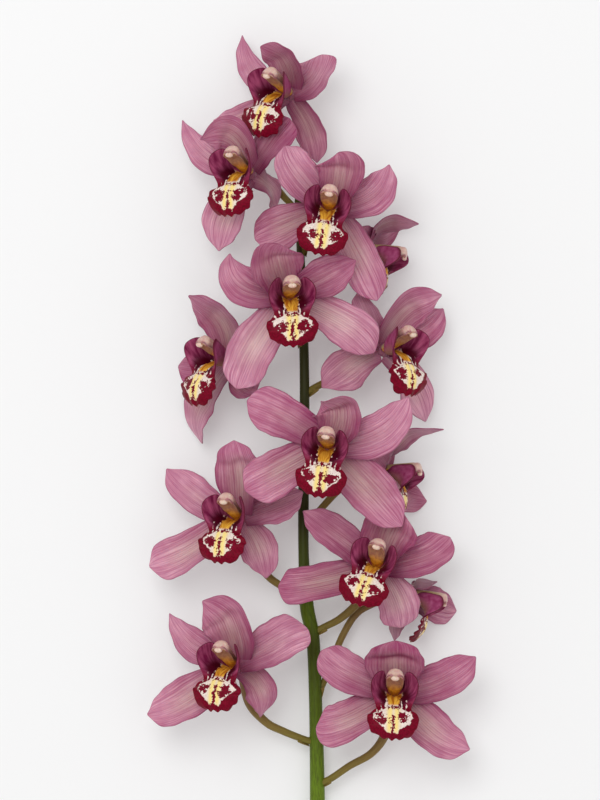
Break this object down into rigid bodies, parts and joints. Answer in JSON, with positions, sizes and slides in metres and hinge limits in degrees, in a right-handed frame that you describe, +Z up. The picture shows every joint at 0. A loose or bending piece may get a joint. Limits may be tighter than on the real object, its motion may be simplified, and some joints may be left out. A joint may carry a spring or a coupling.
{
  "type": "cymbidium orchid stem",
  "caption": "Cut cymbidium orchid stem lying down, with dusky pink blooms, maroon and cream lips and cream columns on a bare green stalk.",
  "frame": {"origin": "middle of the bounding box's base, on the surface that the stem lies on", "axes": "+Y along the stem from its cut end towards the tip of the spray, +Z up from the surface towards the faces of the blooms, +X to the right as seen from above"},
  "size_m": [0.215, 0.6066, 0.0944],
  "materials": {
    "stalk": "waxy green stalk, dark olive towards the tip",
    "petal": "soft satin, dusky pink with darker veins",
    "lip": "velvety maroon rim round a spotted cream middle",
    "column": "waxy cream"
  },
  "bodies": {
    "root": {"stem": "stalk", "bloom_01_tepals": "petal", "bloom_01_lip": "lip", "bloom_01_column": "column", "bloom_02_tepals": "petal", "bloom_02_lip": "lip", "bloom_02_column": "column", "bloom_03_tepals": "petal", "bloom_03_lip": "lip", "bloom_03_column": "column", "bloom_04_tepals": "petal", "bloom_04_lip": "lip", "bloom_04_column": "column", "bloom_05_tepals": "petal", "bloom_05_lip": "lip", "bloom_05_column": "column", "bloom_06_tepals": "petal", "bloom_06_lip": "lip", "bloom_06_column": "column", "bloom_07_tepals": "petal", "bloom_07_lip": "lip", "bloom_07_column": "column", "bloom_08_tepals": "petal", "bloom_08_lip": "lip", "bloom_08_column": "column", "bloom_09_tepals": "petal", "bloom_09_lip": "lip", "bloom_09_column": "column", "bloom_10_tepals": "petal", "bloom_10_lip": "lip", "bloom_10_column": "column", "bloom_11_tepals": "petal", "bloom_11_lip": "lip", "bloom_11_column": "column", "bloom_12_tepals": "petal", "bloom_12_lip": "lip", "bloom_12_column": "column", "bloom_13_tepals": "petal", "bloom_13_lip": "lip", "bloom_13_column": "column", "bloom_14_tepals": "petal", "bloom_14_lip": "lip", "bloom_14_column": "column"}
  },
  "joints": []
}
